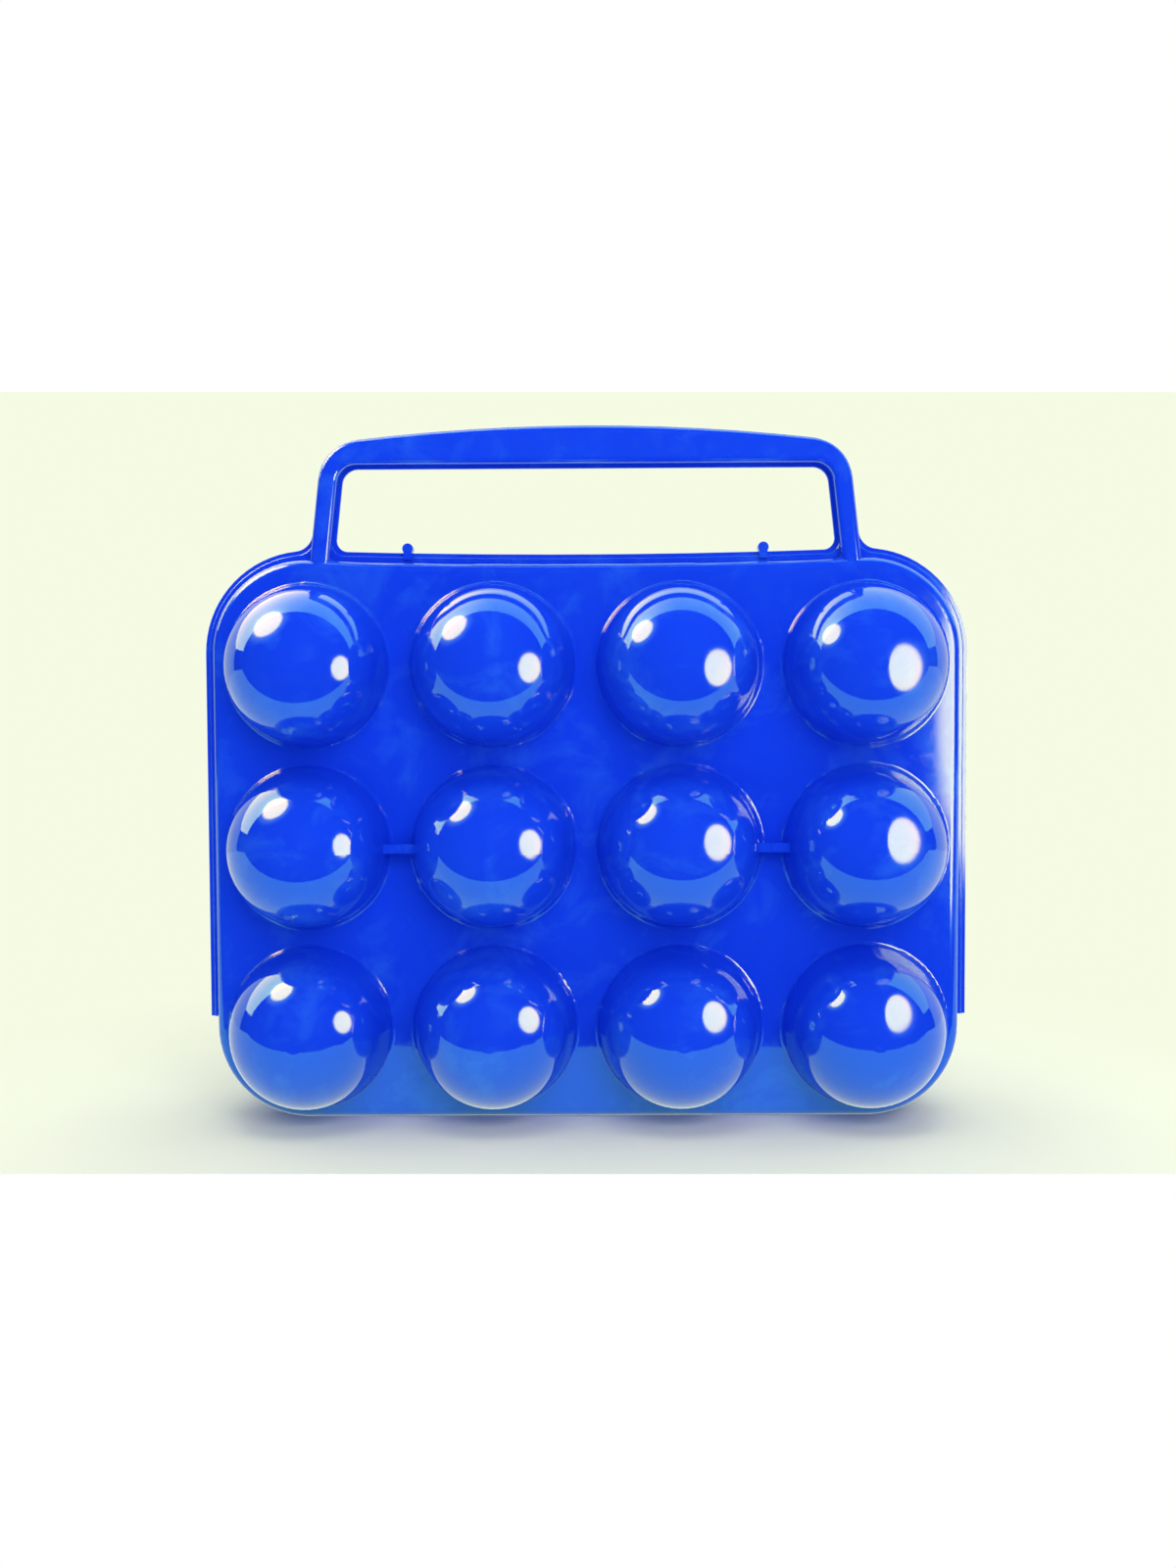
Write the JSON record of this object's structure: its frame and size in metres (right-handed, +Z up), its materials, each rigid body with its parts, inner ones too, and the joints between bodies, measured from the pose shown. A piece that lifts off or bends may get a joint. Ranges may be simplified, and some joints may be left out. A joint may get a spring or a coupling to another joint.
{
  "type": "egg holder",
  "caption": "Hinged two-part plastic egg carrier with domed cups in rows and a carrying handle that splits with the halves.",
  "frame": {"origin": "middle of the underside, on the plane where the halves meet and on the hinge line", "axes": "+X along the width to the viewer's right, +Y from the front half to the back half, +Z up to the handle"},
  "size_m": [0.2, 0.0674, 0.181],
  "materials": {
    "blue_plastic": "glossy, plain moulded"
  },
  "bodies": {
    "back_half": {"back_shell": "blue_plastic"},
    "front_half": {"front_shell": "blue_plastic"}
  },
  "joints": [
    {"name": "hinge", "type": "hinge", "parent": "back_half", "child": "front_half", "pos_m": [0, 0, 0], "axis": [1, 0, 0], "range_deg": [0, 180]}
  ]
}
